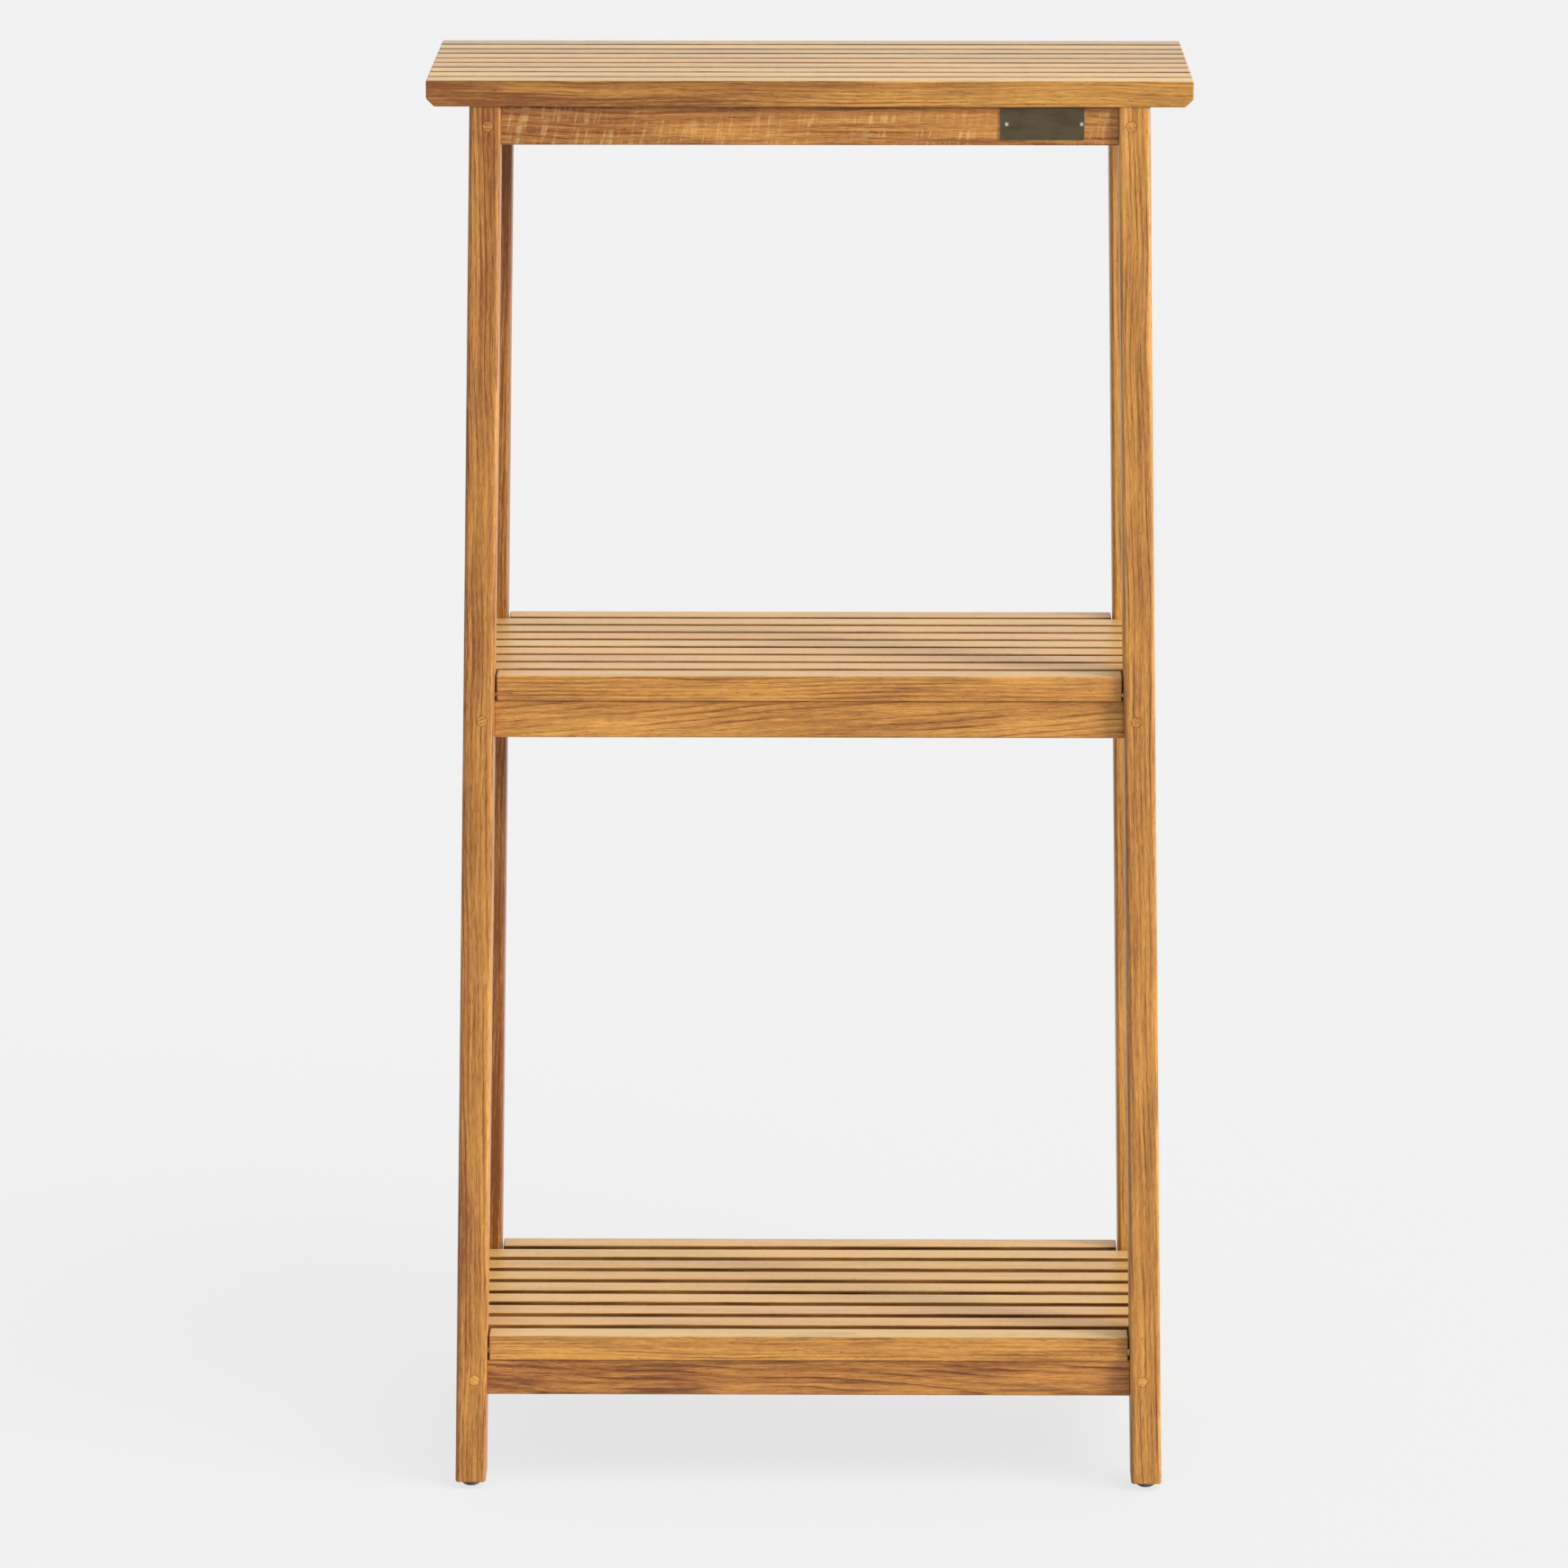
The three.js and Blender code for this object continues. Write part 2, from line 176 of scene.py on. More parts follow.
# Teak colours; of a pair, the second is that of the warmest pieces
PALE_WOOD = ((232, 172, 80), (230, 158, 76))
DEEP_WOOD = ((128, 72, 20), (124, 60, 18))
# painted sheen: the whitish colour that the slats' tops turn toward
PAINTED_SHEEN_WOOD = ((220, 202, 132), (220, 184, 146))
STREAK_WOOD = (78, 40, 12)
RIBBON_WOOD = (240, 204, 132)
PORE_WOOD = (88, 44, 14)
# painted shade on the slats' faces toward a neighbour
GAP_SHADE_WOOD = (56, 22, 2)
SHEEN_TINT = (255, 244, 226)
WOOD_FINISH = {  # roughness and sheen of each kind of piece
    "pin": (0.50, 0.05),
    "slat": (0.34, 0.10),
    "rail": (0.42, 0.05),
    "leg": (0.42, 0.10),
}

# Metal: colours, relief in millimetres, and how far up a glide is scuffed
PLATE_COLOURS = ((74, 63, 46), (116, 104, 80))
PLATE_STAIN = (66, 54, 39)
PLATE_RELIEF = 0.06
TACK_COLOURS = ((176, 168, 148), (226, 220, 204))
TACK_RELIEF = 0.03
GLIDE_COLOURS = ((72, 62, 52), (94, 82, 70))
GLIDE_SCUFFED = (138, 122, 104)
GLIDE_RELIEF = 0.05
SCUFF_HEIGHT = 4.0


def srgb(red, green, blue):
    """Linear colour of an sRGB colour given in 0 to 255."""
    channels = []
    for value in (red, green, blue):
        value = value / 255.0
        if value <= 0.04045:
            channels.append(value / 12.92)
        else:
            channels.append(((value + 0.055) / 1.055) ** 2.4)
    return (channels[0], channels[1], channels[2], 1.0)


class Nodes:
    """Short calls that add and link the nodes of one tree."""

    def __init__(self, owner):
        owner.use_nodes = True
        self.tree = owner.node_tree
        self.tree.nodes.clear()

    def add(self, kind, **settings):
        node = self.tree.nodes.new(kind)
        for key, value in settings.items():
            setattr(node, key, value)
        return node

    def put(self, socket, value):
        """Links a socket to another one, or sets its number, vector or colour."""
        if isinstance(value, bpy.types.NodeSocket):
            self.tree.links.new(value, socket)
        else:
            socket.default_value = value

    def math(self, operation, *values, clamp=False):
        node = self.add("ShaderNodeMath", operation=operation, use_clamp=clamp)
        for socket, value in zip(node.inputs, values):
            self.put(socket, value)
        return node.outputs[0]

    def times(self, first, *others):
        """The product of the values."""
        for value in others:
            first = self.math("MULTIPLY", first, value)
        return first

    def plus(self, first, *others):
        """The sum of the values."""
        for value in others:
            first = self.math("ADD", first, value)
        return first

    def vector(self, operation, *values):
        node = self.add("ShaderNodeVectorMath", operation=operation)
        for socket, value in zip(node.inputs, values):
            self.put(socket, value)
        return node.outputs[0]

    def combine(self, x, y, z):
        node = self.add("ShaderNodeCombineXYZ")
        for socket, value in zip(node.inputs, (x, y, z)):
            self.put(socket, value)
        return node.outputs[0]

    def separate(self, vector):
        node = self.add("ShaderNodeSeparateXYZ")
        self.put(node.inputs[0], vector)
        return node.outputs

    def attribute(self, name, output="Fac"):
        return self.add("ShaderNodeAttribute", attribute_name=name).outputs[output]

    def noise(self, vector, scale, detail=2.0, roughness=0.5):
        """Noise from 0 to 1, whose features are 1 / scale long on each axis."""
        node = self.add("ShaderNodeTexNoise")
        self.put(node.inputs["Vector"], self.vector("MULTIPLY", vector, scale))
        node.inputs["Scale"].default_value = 1.0
        node.inputs["Detail"].default_value = detail
        node.inputs["Roughness"].default_value = roughness
        return node.outputs["Fac"]

    def ramp(self, value, low, high, start=0.0, end=1.0):
        """A smooth step from start at low to end at high."""
        node = self.add("ShaderNodeMapRange", interpolation_type="SMOOTHSTEP")
        for socket, number in zip(node.inputs, (value, low, high, start, end)):
            self.put(socket, number)
        return node.outputs[0]

    def number_mix(self, factor, first, second):
        node = self.add("ShaderNodeMix", data_type="FLOAT")
        for socket, value in zip(node.inputs, (factor, None, first, second)):
            if value is not None:
                self.put(socket, value)
        return node.outputs["Result"]

    def mix(self, factor, first, second):
        """Between two colours, each a socket or an sRGB colour given in 0 to 255."""
        node = self.add("ShaderNodeMix", data_type="RGBA")
        self.put(node.inputs["Factor"], factor)
        for name, colour in (("A", first), ("B", second)):
            self.put(node.inputs[name], srgb(*colour) if isinstance(colour, tuple) else colour)
        return node.outputs["Result"]

    def scaled(self, value, factor):
        """The value's distance from a half, times the factor."""
        return self.times(self.math("SUBTRACT", value, 0.5), factor)

    def shown_rays(self):
        """1 for the rays that show a surface: camera, mirror and glass rays. 0 for soft light."""
        paths = self.add("ShaderNodeLightPath").outputs
        seen = self.math("MAXIMUM", paths["Is Camera Ray"], paths["Is Glossy Ray"])
        return self.math("MAXIMUM", seen, paths["Is Transmission Ray"])


class Shader(Nodes):
    """One material around a Principled surface."""

    def __init__(self, name):
        self.material = bpy.data.materials.new(name)
        super().__init__(self.material)
        self.surface = self.add("ShaderNodeBsdfPrincipled")
        self.output = self.add("ShaderNodeOutputMaterial")
        self.put(self.output.inputs["Surface"], self.surface.outputs["BSDF"])

    def bump(self, height, relief):
        """Height from 0 to 1, over that relief in millimetres."""
        node = self.add("ShaderNodeBump")
        node.inputs["Strength"].default_value = 1.0
        node.inputs["Distance"].default_value = relief * MM
        self.put(node.inputs["Height"], height)
        self.put(self.surface.inputs["Normal"], node.outputs["Normal"])


class Teak(Shader):
    """Solid teak, read from the grain coordinates and looks that each wooden piece carries."""

    def __init__(self, name, roughness, sheen):
        super().__init__(name)
        # painted light on the slats' upper faces
        self.top = self.attribute("top")
        self.place = self.wandering()
        self.x, self.y, self.z = self.separate(self.place)
        self.late_wood, self.ring_line = self.growth_rings()
        self.flecks = self.noise(self.place, FLECKS, 3.0, 0.62)
        self.pores = self.ramp(self.noise(self.place, PORES, 1.0), *PORE_STEP)
        self.patches = self.noise(self.place, PATCHES, 2.0)
        self.put(self.surface.inputs["Base Color"], self.colour())
        self.finish(roughness, sheen)

    def wandering(self):
        """Grain coordinates whose fibres wander slowly along the piece."""
        grain = self.attribute("grain", "Vector")
        wander = self.noise(grain, WANDER, 1.0)
        ripple = self.noise(grain, RIPPLE, 1.0)
        shift = self.plus(self.times(wander, WANDER_REACH), self.times(ripple, RIPPLE_REACH))
        drift = self.combine(shift, self.times(shift, DRIFT_SHARE), 0.0)
        return self.vector("ADD", grain, drift)

    def growth_rings(self):
        """Late wood around a distant pith, and the dark line where it ends."""
        squares = self.plus(self.times(self.x, self.x), self.times(self.y, self.y))
        phase = self.math("FRACT", self.times(self.math("SQRT", squares), RINGS))
        end = self.ramp(phase, *RING_END, 1.0, 0.0)
        band = self.times(self.ramp(phase, *LATE_BAND), end)
        depth = self.noise(self.place, RING_DEPTH, 1.0)
        late_wood = self.times(band, self.ramp(depth, *RING_CLEAR))
        return late_wood, self.times(late_wood, self.ramp(phase, *RING_LINE))

    def tone(self):
        """From 0, deep, to 1, pale: the tone each piece carries, which holds painted shade and
        painted light on a few pieces, plus painted light on the slat tops, bundles, flecks and
        fibres.
        """
        # painted light: the slats' tops are paler
        value = self.plus(self.attribute("tone"), self.times(self.top, PAINTED_TOP_LIGHT))
        bundles = self.noise(self.place, BUNDLES, 3.0, 0.62)
        fibres = self.noise(self.place, FIBRES, 2.0, 0.6)
        broad = self.noise(self.place, BROAD, 1.0)
        value = self.plus(
            value,
            self.scaled(bundles, BUNDLE_TONE),
            self.scaled(self.flecks, FLECK_TONE),
            self.scaled(fibres, FIBRE_TONE),
            self.scaled(broad, BROAD_TONE),
        )
        late_wood = self.times(self.late_wood, LATE_WOOD_TONE)
        return self.math("SUBTRACT", value, late_wood, clamp=True)

    def streak(self):
        """Dark streaks, and dark ring lines beside them."""
        streak = self.ramp(self.noise(self.place, DARK_STREAKS, 3.0, 0.6), *STREAK_STEP)
        return self.times(self.math("MAXIMUM", streak, self.ring_line), self.attribute("streaks"))

    def figure(self):
        """Pale ribbons across the grain, in patches."""
        slant = self.plus(self.z, self.times(self.y, RIBBON_SLANT))
        bars = self.noise(self.combine(self.x, self.y, slant), RIBBONS, 2.0, 0.6)
        patch = self.ramp(self.patches, *RIBBON_PATCH)
        return self.times(self.ramp(bars, *RIBBON_STEP), patch, self.attribute("ribbon"))

    def colour(self):
        """Tone first, then streaks, ribbons and pores, then painted light that pales the slats'
        tops and painted shade on their faces toward a neighbour.
        """
        warmth = self.attribute("warmth")
        top_sheen = self.times(self.top, PAINTED_TOP_SHEEN)
        gap_shade = self.ramp(self.patches, *GAP_SHADE_PATCH, *GAP_SHADE_SHARES)
        colour = self.mix(self.tone(), self.mix(warmth, *DEEP_WOOD), self.mix(warmth, *PALE_WOOD))
        colour = self.mix(self.times(self.streak(), STREAK_SHARE), colour, STREAK_WOOD)
        colour = self.mix(self.times(self.figure(), RIBBON_SHARE), colour, RIBBON_WOOD)
        colour = self.mix(self.times(self.pores, PORE_SHARE), colour, PORE_WOOD)
        # painted sheen: the slats' tops turn whitish
        colour = self.mix(top_sheen, colour, self.mix(warmth, *PAINTED_SHEEN_WOOD))
        # painted shade on the slats' faces toward a neighbour, in patches
        return self.mix(self.times(self.attribute("side"), gap_shade), colour, GAP_SHADE_WOOD)

    def finish(self, roughness, sheen):
        """Satin, duller in the pores, which are sunk."""
        self.surface.inputs["IOR"].default_value = WOOD_IOR
        self.surface.inputs["Sheen Weight"].default_value = sheen
        self.surface.inputs["Sheen Roughness"].default_value = SHEEN_ROUGHNESS
        self.surface.inputs["Sheen Tint"].default_value = srgb(*SHEEN_TINT)
        gloss = self.plus(roughness, self.scaled(self.flecks, FLECK_GLOSS))
        dull = self.plus(gloss, self.times(self.pores, PORE_DULLNESS))
        self.put(self.surface.inputs["Roughness"], dull)
        height = self.times(self.flecks, FLECK_HEIGHT)
        height = self.math("SUBTRACT", height, self.times(self.pores, PORE_DEPTH))
        height = self.math("SUBTRACT", height, self.times(self.late_wood, LATE_WOOD_DEPTH))
        self.bump(height, WOOD_RELIEF)


def brushed_plate():
    """Dark bronze sheet, brushed along its length."""
    s = Shader("brushed_bronze")
    place = s.add("ShaderNodeTexCoord").outputs["Object"]
    brushing = s.noise(place, (40.0, 900.0, 2600.0), 3.0, 0.6)
    stain = s.noise(place, (55.0, 55.0, 90.0), 2.0)
    colour = s.mix(brushing, *PLATE_COLOURS)
    colour = s.mix(s.ramp(stain, 0.4, 0.75, 0.0, 0.45), colour, PLATE_STAIN)
    s.put(s.surface.inputs["Base Color"], colour)
    s.surface.inputs["Metallic"].default_value = 0.75
    s.put(s.surface.inputs["Roughness"], s.ramp(brushing, 0.2, 0.8, 0.34, 0.56))
    s.bump(brushing, PLATE_RELIEF)
    return s.material


def bright_tack():
    """Plated tack head with fine turning marks."""
    s = Shader("bright_tack")
    place = s.add("ShaderNodeTexCoord").outputs["Object"]
    wear = s.noise(place, (700.0, 700.0, 700.0), 3.0)
    s.put(s.surface.inputs["Base Color"], s.mix(wear, *TACK_COLOURS))
    s.surface.inputs["Metallic"].default_value = 0.95
    s.put(s.surface.inputs["Roughness"], s.ramp(wear, 0.3, 0.7, 0.20, 0.34))
    s.bump(wear, TACK_RELIEF)
    return s.material


def painted_glide():
    """Dark painted metal, scuffed where it meets the floor."""
    s = Shader("painted_glide")
    place = s.add("ShaderNodeTexCoord").outputs["Object"]
    grain = s.noise(place, (1600.0, 1600.0, 1600.0), 2.0)
    scuffs = s.noise(place, (300.0, 300.0, 120.0), 3.0, 0.6)
    height = s.separate(place)[2]
    low = s.ramp(height, 0.0, SCUFF_HEIGHT * MM, 1.0, 0.0)
    worn = s.times(low, s.ramp(scuffs, 0.4, 0.7))
    colour = s.mix(grain, *GLIDE_COLOURS)
    s.put(s.surface.inputs["Base Color"], s.mix(worn, colour, GLIDE_SCUFFED))
    s.put(s.surface.inputs["Roughness"], s.ramp(grain, 0.3, 0.7, 0.42, 0.60))
    s.bump(grain, GLIDE_RELIEF)
    return s.material


def welded(node):
    """A clean bmesh of a CAD node: welded, with its flat faces whole."""
    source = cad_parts[node].data
    points = [vertex.co.copy() for vertex in source.vertices]
    faces = [tuple(polygon.vertices) for polygon in source.polygons]
    mesh = bpy.data.meshes.new("copy")
    mesh.from_pydata(points, [], faces)
    form = bmesh.new()
    form.from_mesh(mesh)
    bpy.data.meshes.remove(mesh)
    bmesh.ops.remove_doubles(form, verts=form.verts, dist=WELD * MM)
    bmesh.ops.dissolve_limit(form, angle_limit=math.radians(FLAT_ANGLE),
                             verts=form.verts, edges=form.edges)
    bmesh.ops.recalc_face_normals(form, faces=form.faces)
    return form


def corners(form):
    """The edges of a form where two faces meet at a real corner."""
    sharp = math.radians(SHARP_ANGLE)
    return [e for e in form.edges if len(e.link_faces) == 2 and e.calc_face_angle() > sharp]


def ease_edges(form, edges, radius):
    """Rounds those edges."""
    bmesh.ops.bevel(form, geom=edges, offset=radius * MM, segments=EDGE_STEPS,
                    profile=0.5, affect="EDGES", clamp_overlap=True)


def foot_edges(form):
    """The rim of a leg's foot, without the hole for the nail of its glide."""
    foot = min(vertex.co.z for vertex in form.verts) + LEVEL * MM
    level = [vertex for vertex in form.verts if vertex.co.z < foot]
    middle = sum((vertex.co for vertex in level), Vector()) / len(level)
    rim = {vertex for vertex in level if (vertex.co - middle).length > FOOT_RIM * MM}
    return [edge for edge in corners(form) if set(edge.verts) <= rim]


def shade(form):
    """Smooth faces, with a hard line only at real corners."""
    for face in form.faces:
        face.smooth = True
    for edge in form.edges:
        if len(edge.link_faces) == 2:
            edge.smooth = edge.calc_face_angle() < math.radians(SHARP_ANGLE)


def grain_frame(points):
    """Middle of a piece, and the turn that lays its long axis along Z."""
    low = [min(point[i] for point in points) for i in range(3)]
    high = [max(point[i] for point in points) for i in range(3)]
    spans = [high[i] - low[i] for i in range(3)]
    long_axis = spans.index(max(spans))
    reach = END_SHARE * spans[long_axis]
    starts = [p for p in points if p[long_axis] < low[long_axis] + reach]
    ends = [p for p in points if p[long_axis] > high[long_axis] - reach]
    start = sum(starts, Vector()) / len(starts)
    end = sum(ends, Vector()) / len(ends)
    turn = (end - start).rotation_difference(Vector((0.0, 0.0, 1.0)))
    return (start + end) / 2, turn


def set_attribute(mesh, name, kind, values):
    """Stores a number or vector for each point."""
    layer = mesh.attributes.new(name, kind, "POINT")
    key = "vector" if kind == "FLOAT_VECTOR" else "value"
    layer.data.foreach_set(key, values)


def add_grain(mesh, seed, look):
    """Gives each point its place in the board that the piece was cut from, and its looks."""
    chance = random.Random(seed)
    points = [vertex.co.copy() for vertex in mesh.vertices]
    middle, turn = grain_frame(points)
    angle = math.radians(look["angle"])
    side, up = math.cos(angle), math.sin(angle)
    tilt = look["tilt"]
    offset = chance.uniform(0.0, 9000.0)
    values = []
    for point in points:
        place = (turn @ (point - middle)) / MM
        across = side * place.x - up * place.y + look["pith"] + tilt * place.z
        depth = up * place.x + side * place.y + look["aside"]
        values.extend((across, depth, place.z + offset))
    set_attribute(mesh, "grain", "FLOAT_VECTOR", values)
    for name in ("warmth", "ribbon", "streaks"):
        set_attribute(mesh, name, "FLOAT", [look[name]] * len(points))
    set_attribute(mesh, "tone", "FLOAT", tones(points, look["tone"]))
    # side: painted shade on the faces toward a neighbouring slat
    normals = [vertex.normal for vertex in mesh.vertices]
    inner = [facing(abs(n.y)) if n.y * look["outer"] <= 0 else 0.0 for n in normals]
    set_attribute(mesh, "side", "FLOAT", [look["side"] * share for share in inner])
    # top: painted light on the upward faces of the slats
    set_attribute(mesh, "top", "FLOAT", [look["top"] * facing(n.z) for n in normals])


def tones(points, tone):
    """Tone of each point, which runs evenly from one end of the piece to the other."""
    spans = [max(p[i] for p in points) - min(p[i] for p in points) for i in range(3)]
    axis = spans.index(max(spans))
    low = min(point[axis] for point in points)
    start, end = tone
    return [start + (end - start) * (point[axis] - low) / spans[axis] for point in points]


def facing(share):
    """1 for a normal straight along an axis, down to 0 from 60 degrees away."""
    return max(0.0, share - 0.5) * 2.0


def look_of(node, **settings):
    """How one piece was cut: its ring centre, runout and colour, seeded by its name."""
    chance = random.Random("look " + node)
    look = {
        "angle": chance.uniform(0.0, 360.0),
        "pith": chance.uniform(45.0, 110.0),
        "aside": chance.uniform(-20.0, 20.0),
        "tilt": chance.uniform(-0.015, 0.015),
        "tone": (chance.uniform(0.44, 0.62), chance.uniform(0.44, 0.62)),
        "warmth": chance.uniform(0.1, 0.8),
        "ribbon": chance.choice((0.0, 0.0, 0.3)),
        "streaks": chance.uniform(0.0, 0.30),
        # share of the painted light on a slat's top
        "painted_light_share": chance.uniform(0.0, 1.0),
        # painted shade toward a neighbouring slat and painted light on upper faces, set for slats
        # only
        "side": 0.0,
        "outer": 0,
        "top": 0.0,
    }
    look.update(settings)
    return look


def piece(name, form, node, material):
    """Makes the shown piece from its form and puts it in the place of the CAD node."""
    mesh = bpy.data.meshes.new(name)
    shade(form)
    form.to_mesh(mesh)
    form.free()
    shown = bpy.data.objects.new(name, mesh)
    bpy.context.scene.collection.objects.link(shown)
    mesh.materials.append(material)
    normals = shown.modifiers.new("even_normals", "WEIGHTED_NORMAL")
    normals.keep_sharp = True
    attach(shown, "root")
    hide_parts(node)
    return shown


# What the photograph shows of single pieces; all other looks are drawn in look_of
LOOKS = {
    # darker toward its left end: painted shade under the top slats
    "top_rail_front": {"tone": (0.22, 0.42), "warmth": 0.6, "streaks": 0.0, "ribbon": 1.0},
    "middle_rail_front": {"tone": (0.56, 0.58), "warmth": 0.4, "tilt": 0.045, "ribbon": 0.0},
    "bottom_rail_front": {"tone": (0.44, 0.46), "warmth": 0.7, "tilt": 0.03, "streaks": 0.9},
    # darker toward its left end: painted shade, away from the light
    "top_slat_1": {"tone": (0.08, 0.74), "warmth": 0.5, "streaks": 0.1, "ribbon": 0.0},
    "middle_slat_1": {"tone": (0.59, 0.59), "warmth": 0.6, "streaks": 0.6, "painted_light_share": 1.7},
    "bottom_slat_1": {"tone": (0.57, 0.57), "warmth": 0.3, "streaks": 0.3, "painted_light_share": 1.8},
    "leg_front_left": {"tone": (0.45, 0.34), "warmth": 0.4, "streaks": 0.1, "ribbon": 0.0},
    "leg_front_right": {"tone": (0.50, 0.68), "warmth": 0.4, "streaks": 0.5, "ribbon": 0.0},
    # dark all along: a darker piece, darkened further by painted shade under the shelves
    "leg_rear_left": {"tone": (0.13, 0.22), "warmth": 0.4, "streaks": 0.1, "ribbon": 0.0},
    # pale tone that holds painted light from the right
    "leg_rear_right": {"tone": (0.75, 0.70), "warmth": 0.3, "streaks": 0.1, "ribbon": 0.0},
    "middle_pin_front_left": {"tone": (0.64, 0.64), "warmth": 0.1, "streaks": 0.0},
    "middle_pin_front_right": {"tone": (0.60, 0.60), "warmth": 0.5, "streaks": 0.0},
    "bottom_pin_front_left": {"tone": (0.90, 0.90), "warmth": 0.2, "streaks": 0.0},
    "bottom_pin_front_right": {"tone": (0.66, 0.66), "warmth": 0.2, "streaks": 0.0},
}


def add_slat_look(node, look):
    """The looks that a slat gets from its shelf and from its place there."""
    tier, _, number = node.split("_")
    look["warmth"] *= SLAT_WARMTH[tier]
    # painted shade on the faces toward a neighbour, strongest on the lowest shelf
    look["side"] = PAINTED_GAP_SHADE[tier]
    look["outer"] = OUTER_FACES.get(number, 0)
    # painted light on the top, uneven from slat to slat
    look["top"] = 1.0 - (1.0 - look["painted_light_share"]) * UNEVEN_TOPS[tier]
    behind = int(number) - 1
    if behind > 0:
        lift, step = SLAT_TONES[tier]
        look["tone"] = [tone + lift + step * behind for tone in look["tone"]]


def ease_wood(form, kind):
    """Rounds the edges that are rounded on that kind of piece."""
    if kind == "slat":
        ease_edges(form, corners(form), SLAT_EDGE)
    elif kind == "rail":
        long_edges = [e for e in corners(form) if e.calc_length() >= LONG_EDGE * MM]
        ease_edges(form, long_edges, RAIL_EDGE)
    elif kind == "leg":
        ease_edges(form, foot_edges(form), FOOT_EDGE)


def make_wood():
    """Legs, rails, slats and pins."""
    materials = {kind: Teak("teak_" + kind, roughness, sheen).material
                 for kind, (roughness, sheen) in WOOD_FINISH.items()}
    for node in sorted(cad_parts):
        kind = next((word for word in materials if word in node), None)
        if kind is None:
            continue
        form = welded(node)
        ease_wood(form, kind)
        look = look_of(node, **LOOKS.get(node, {}))
        if kind == "slat":
            add_slat_look(node, look)
        shown = piece("wood_" + node, form, node, materials[kind])
        add_grain(shown.data, node, look)


def make_metal():
    """Nameplate with its two tacks, and glides."""
    plate = piece("plate_bare", welded("nameplate"), "nameplate", brushed_plate())
    plate.data.materials.append(bright_tack())
    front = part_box("nameplate")[0].y + TACK_HEIGHT * MM
    for face in plate.data.polygons:
        if face.center.y < front - LEVEL * MM:
            face.material_index = 1
    glide_material = painted_glide()
    for node in sorted(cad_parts):
        if node.startswith("glide"):
            piece("painted_" + node, welded(node), node, glide_material)


def make_floor():
    """A pale floor that keeps the shadow and runs out past every view."""
    s = Shader("pale_floor")
    place = s.add("ShaderNodeTexCoord").outputs["Object"]
    mottle = s.noise(place, (2.0, 2.0, 2.0), 2.0)
    shown = s.shown_rays()
    level = s.ramp(mottle, 0.0, 1.0, FLOOR_PALE - FLOOR_MOTTLE, FLOOR_PALE + FLOOR_MOTTLE)
    level = s.number_mix(shown, FLOOR_BOUNCE, level)
    s.put(s.surface.inputs["Base Color"], s.combine(level, level, level))
    s.surface.inputs["Roughness"].default_value = 0.9
    s.surface.inputs["Specular IOR Level"].default_value = 0.0
    glow = s.add("ShaderNodeEmission")
    glow.inputs["Color"].default_value = WHITE
    glow.inputs["Strength"].default_value = PALE_SHOWN
    lit = s.add("ShaderNodeMixShader")
    s.put(lit.inputs[0], s.times(shown, 1.0 - FLOOR_SHADOW_SHARE))
    s.put(lit.inputs[1], s.surface.outputs["BSDF"])
    s.put(lit.inputs[2], glow.outputs["Emission"])
    s.put(s.output.inputs["Surface"], lit.outputs[0])
    mesh = bpy.data.meshes.new("floor")
    half = FLOOR_SIZE / 2
    mesh.from_pydata([(-half, -half, 0), (half, -half, 0), (half, half, 0), (-half, half, 0)],
                     [], [(0, 1, 2, 3)])
    mesh.materials.append(s.material)
    floor = bpy.data.objects.new("floor", mesh)
    bpy.context.scene.collection.objects.link(floor)
    return floor


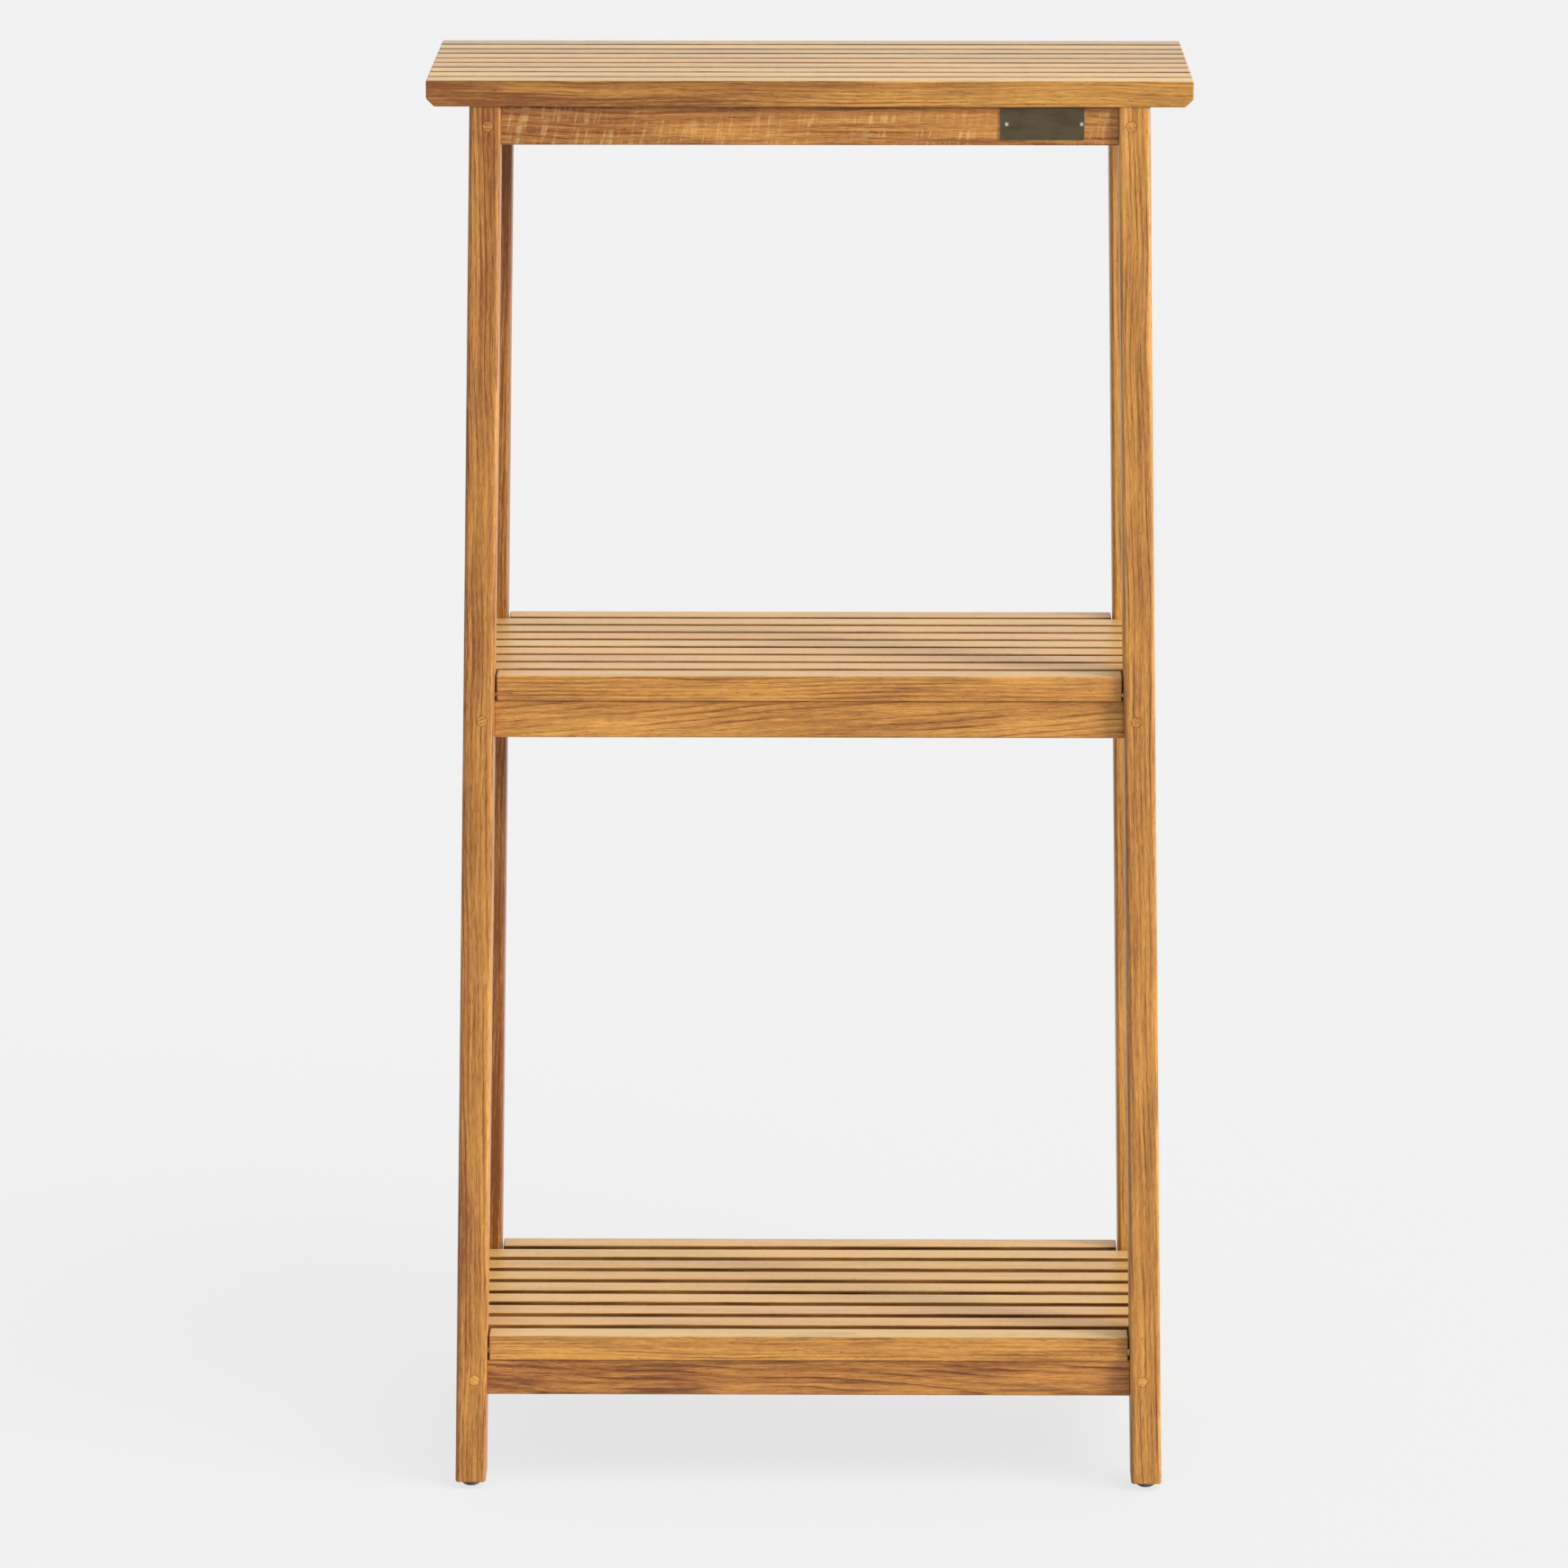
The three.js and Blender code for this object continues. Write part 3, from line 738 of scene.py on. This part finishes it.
def make_room():
    """World: soft light from above, the right and the front, and a pale room that shows."""
    world = bpy.data.worlds.new("pale_room")
    bpy.context.scene.world = world
    w = Nodes(world)
    direction = w.add("ShaderNodeTexCoord").outputs["Generated"]
    x, y, z = w.separate(direction)
    above = w.times(z, ROOM_FROM_ABOVE)
    right = w.times(x, ROOM_FROM_RIGHT)
    front = w.times(y, -ROOM_FROM_FRONT)
    soft = w.plus(above, right, front, 1.0)
    soft = w.times(w.math("MAXIMUM", soft, ROOM_LEAST), ROOM_LIGHT)
    dark_side = w.ramp(x, *LEFT_FADE, MIRRORED_LEFT, PALE_SHOWN)
    window = w.ramp(x, *RIGHT_FADE, 0.0, MIRRORED_RIGHT - PALE_SHOWN)
    dim_front = w.ramp(y, *FRONT_FADE, MIRRORED_FRONT, 1.0)
    mirrored = w.times(w.plus(dark_side, window), dim_front)
    paths = w.add("ShaderNodeLightPath").outputs
    level = w.number_mix(paths["Is Glossy Ray"], soft, mirrored)
    seen = w.math("MAXIMUM", paths["Is Camera Ray"], paths["Is Transmission Ray"])
    background = w.add("ShaderNodeBackground")
    background.inputs["Color"].default_value = WHITE
    w.put(background.inputs["Strength"], w.number_mix(seen, level, PALE_SHOWN))
    output = w.add("ShaderNodeOutputWorld")
    w.put(output.inputs["Surface"], background.outputs["Background"])


def sun(name, direction, strength, softness):
    """A sun lamp that stands in that direction, its disc as wide as the softness in degrees."""
    light = bpy.data.lights.new(name, "SUN")
    light.energy = strength
    light.angle = math.radians(softness)
    lamp = bpy.data.objects.new(name, light)
    lamp.rotation_euler = Vector(direction).to_track_quat("Z", "Y").to_euler()
    bpy.context.scene.collection.objects.link(lamp)
    return lamp


def light_only(lamp, obj, state):
    """Makes a lamp light only that object, or everything but it."""
    group = bpy.data.collections.new(lamp.name + "_receivers")
    group.objects.link(obj)
    lamp.light_linking.receiver_collection = group
    group.collection_objects[0].light_linking.link_state = state


def make_lamps(floor):
    """The key and a fill from behind light the stand, and the wide lamp lights the floor."""
    key = sun("key", KEY_DIRECTION, KEY_STRENGTH, KEY_SOFTNESS)
    light_only(key, floor, "EXCLUDE")
    rear = sun("rear_fill", REAR_DIRECTION, REAR_STRENGTH, REAR_SOFTNESS)
    rear.visible_glossy = False
    light_only(rear, floor, "EXCLUDE")
    wide = sun("floor_lamp", FLOOR_LAMP_DIRECTION, FLOOR_LAMP_STRENGTH, FLOOR_LAMP_SOFTNESS)
    light_only(wide, floor, "INCLUDE")


def make_camera():
    """The photograph's view, tilted down, without shift."""
    lens = bpy.data.cameras.new("camera")
    lens.lens = CAMERA_LENS
    lens.sensor_width = CAMERA_SENSOR
    lens.clip_end = 200.0
    camera = bpy.data.objects.new("camera", lens)
    camera.location = CAMERA_PLACE
    camera.rotation_euler = (math.radians(CAMERA_TILT), 0.0, math.radians(CAMERA_PAN))
    bpy.context.scene.collection.objects.link(camera)
    bpy.context.scene.camera = camera


make_camera()
make_room()
make_lamps(make_floor())
make_wood()
make_metal()
bpy.context.scene.view_settings.view_transform = "Standard"
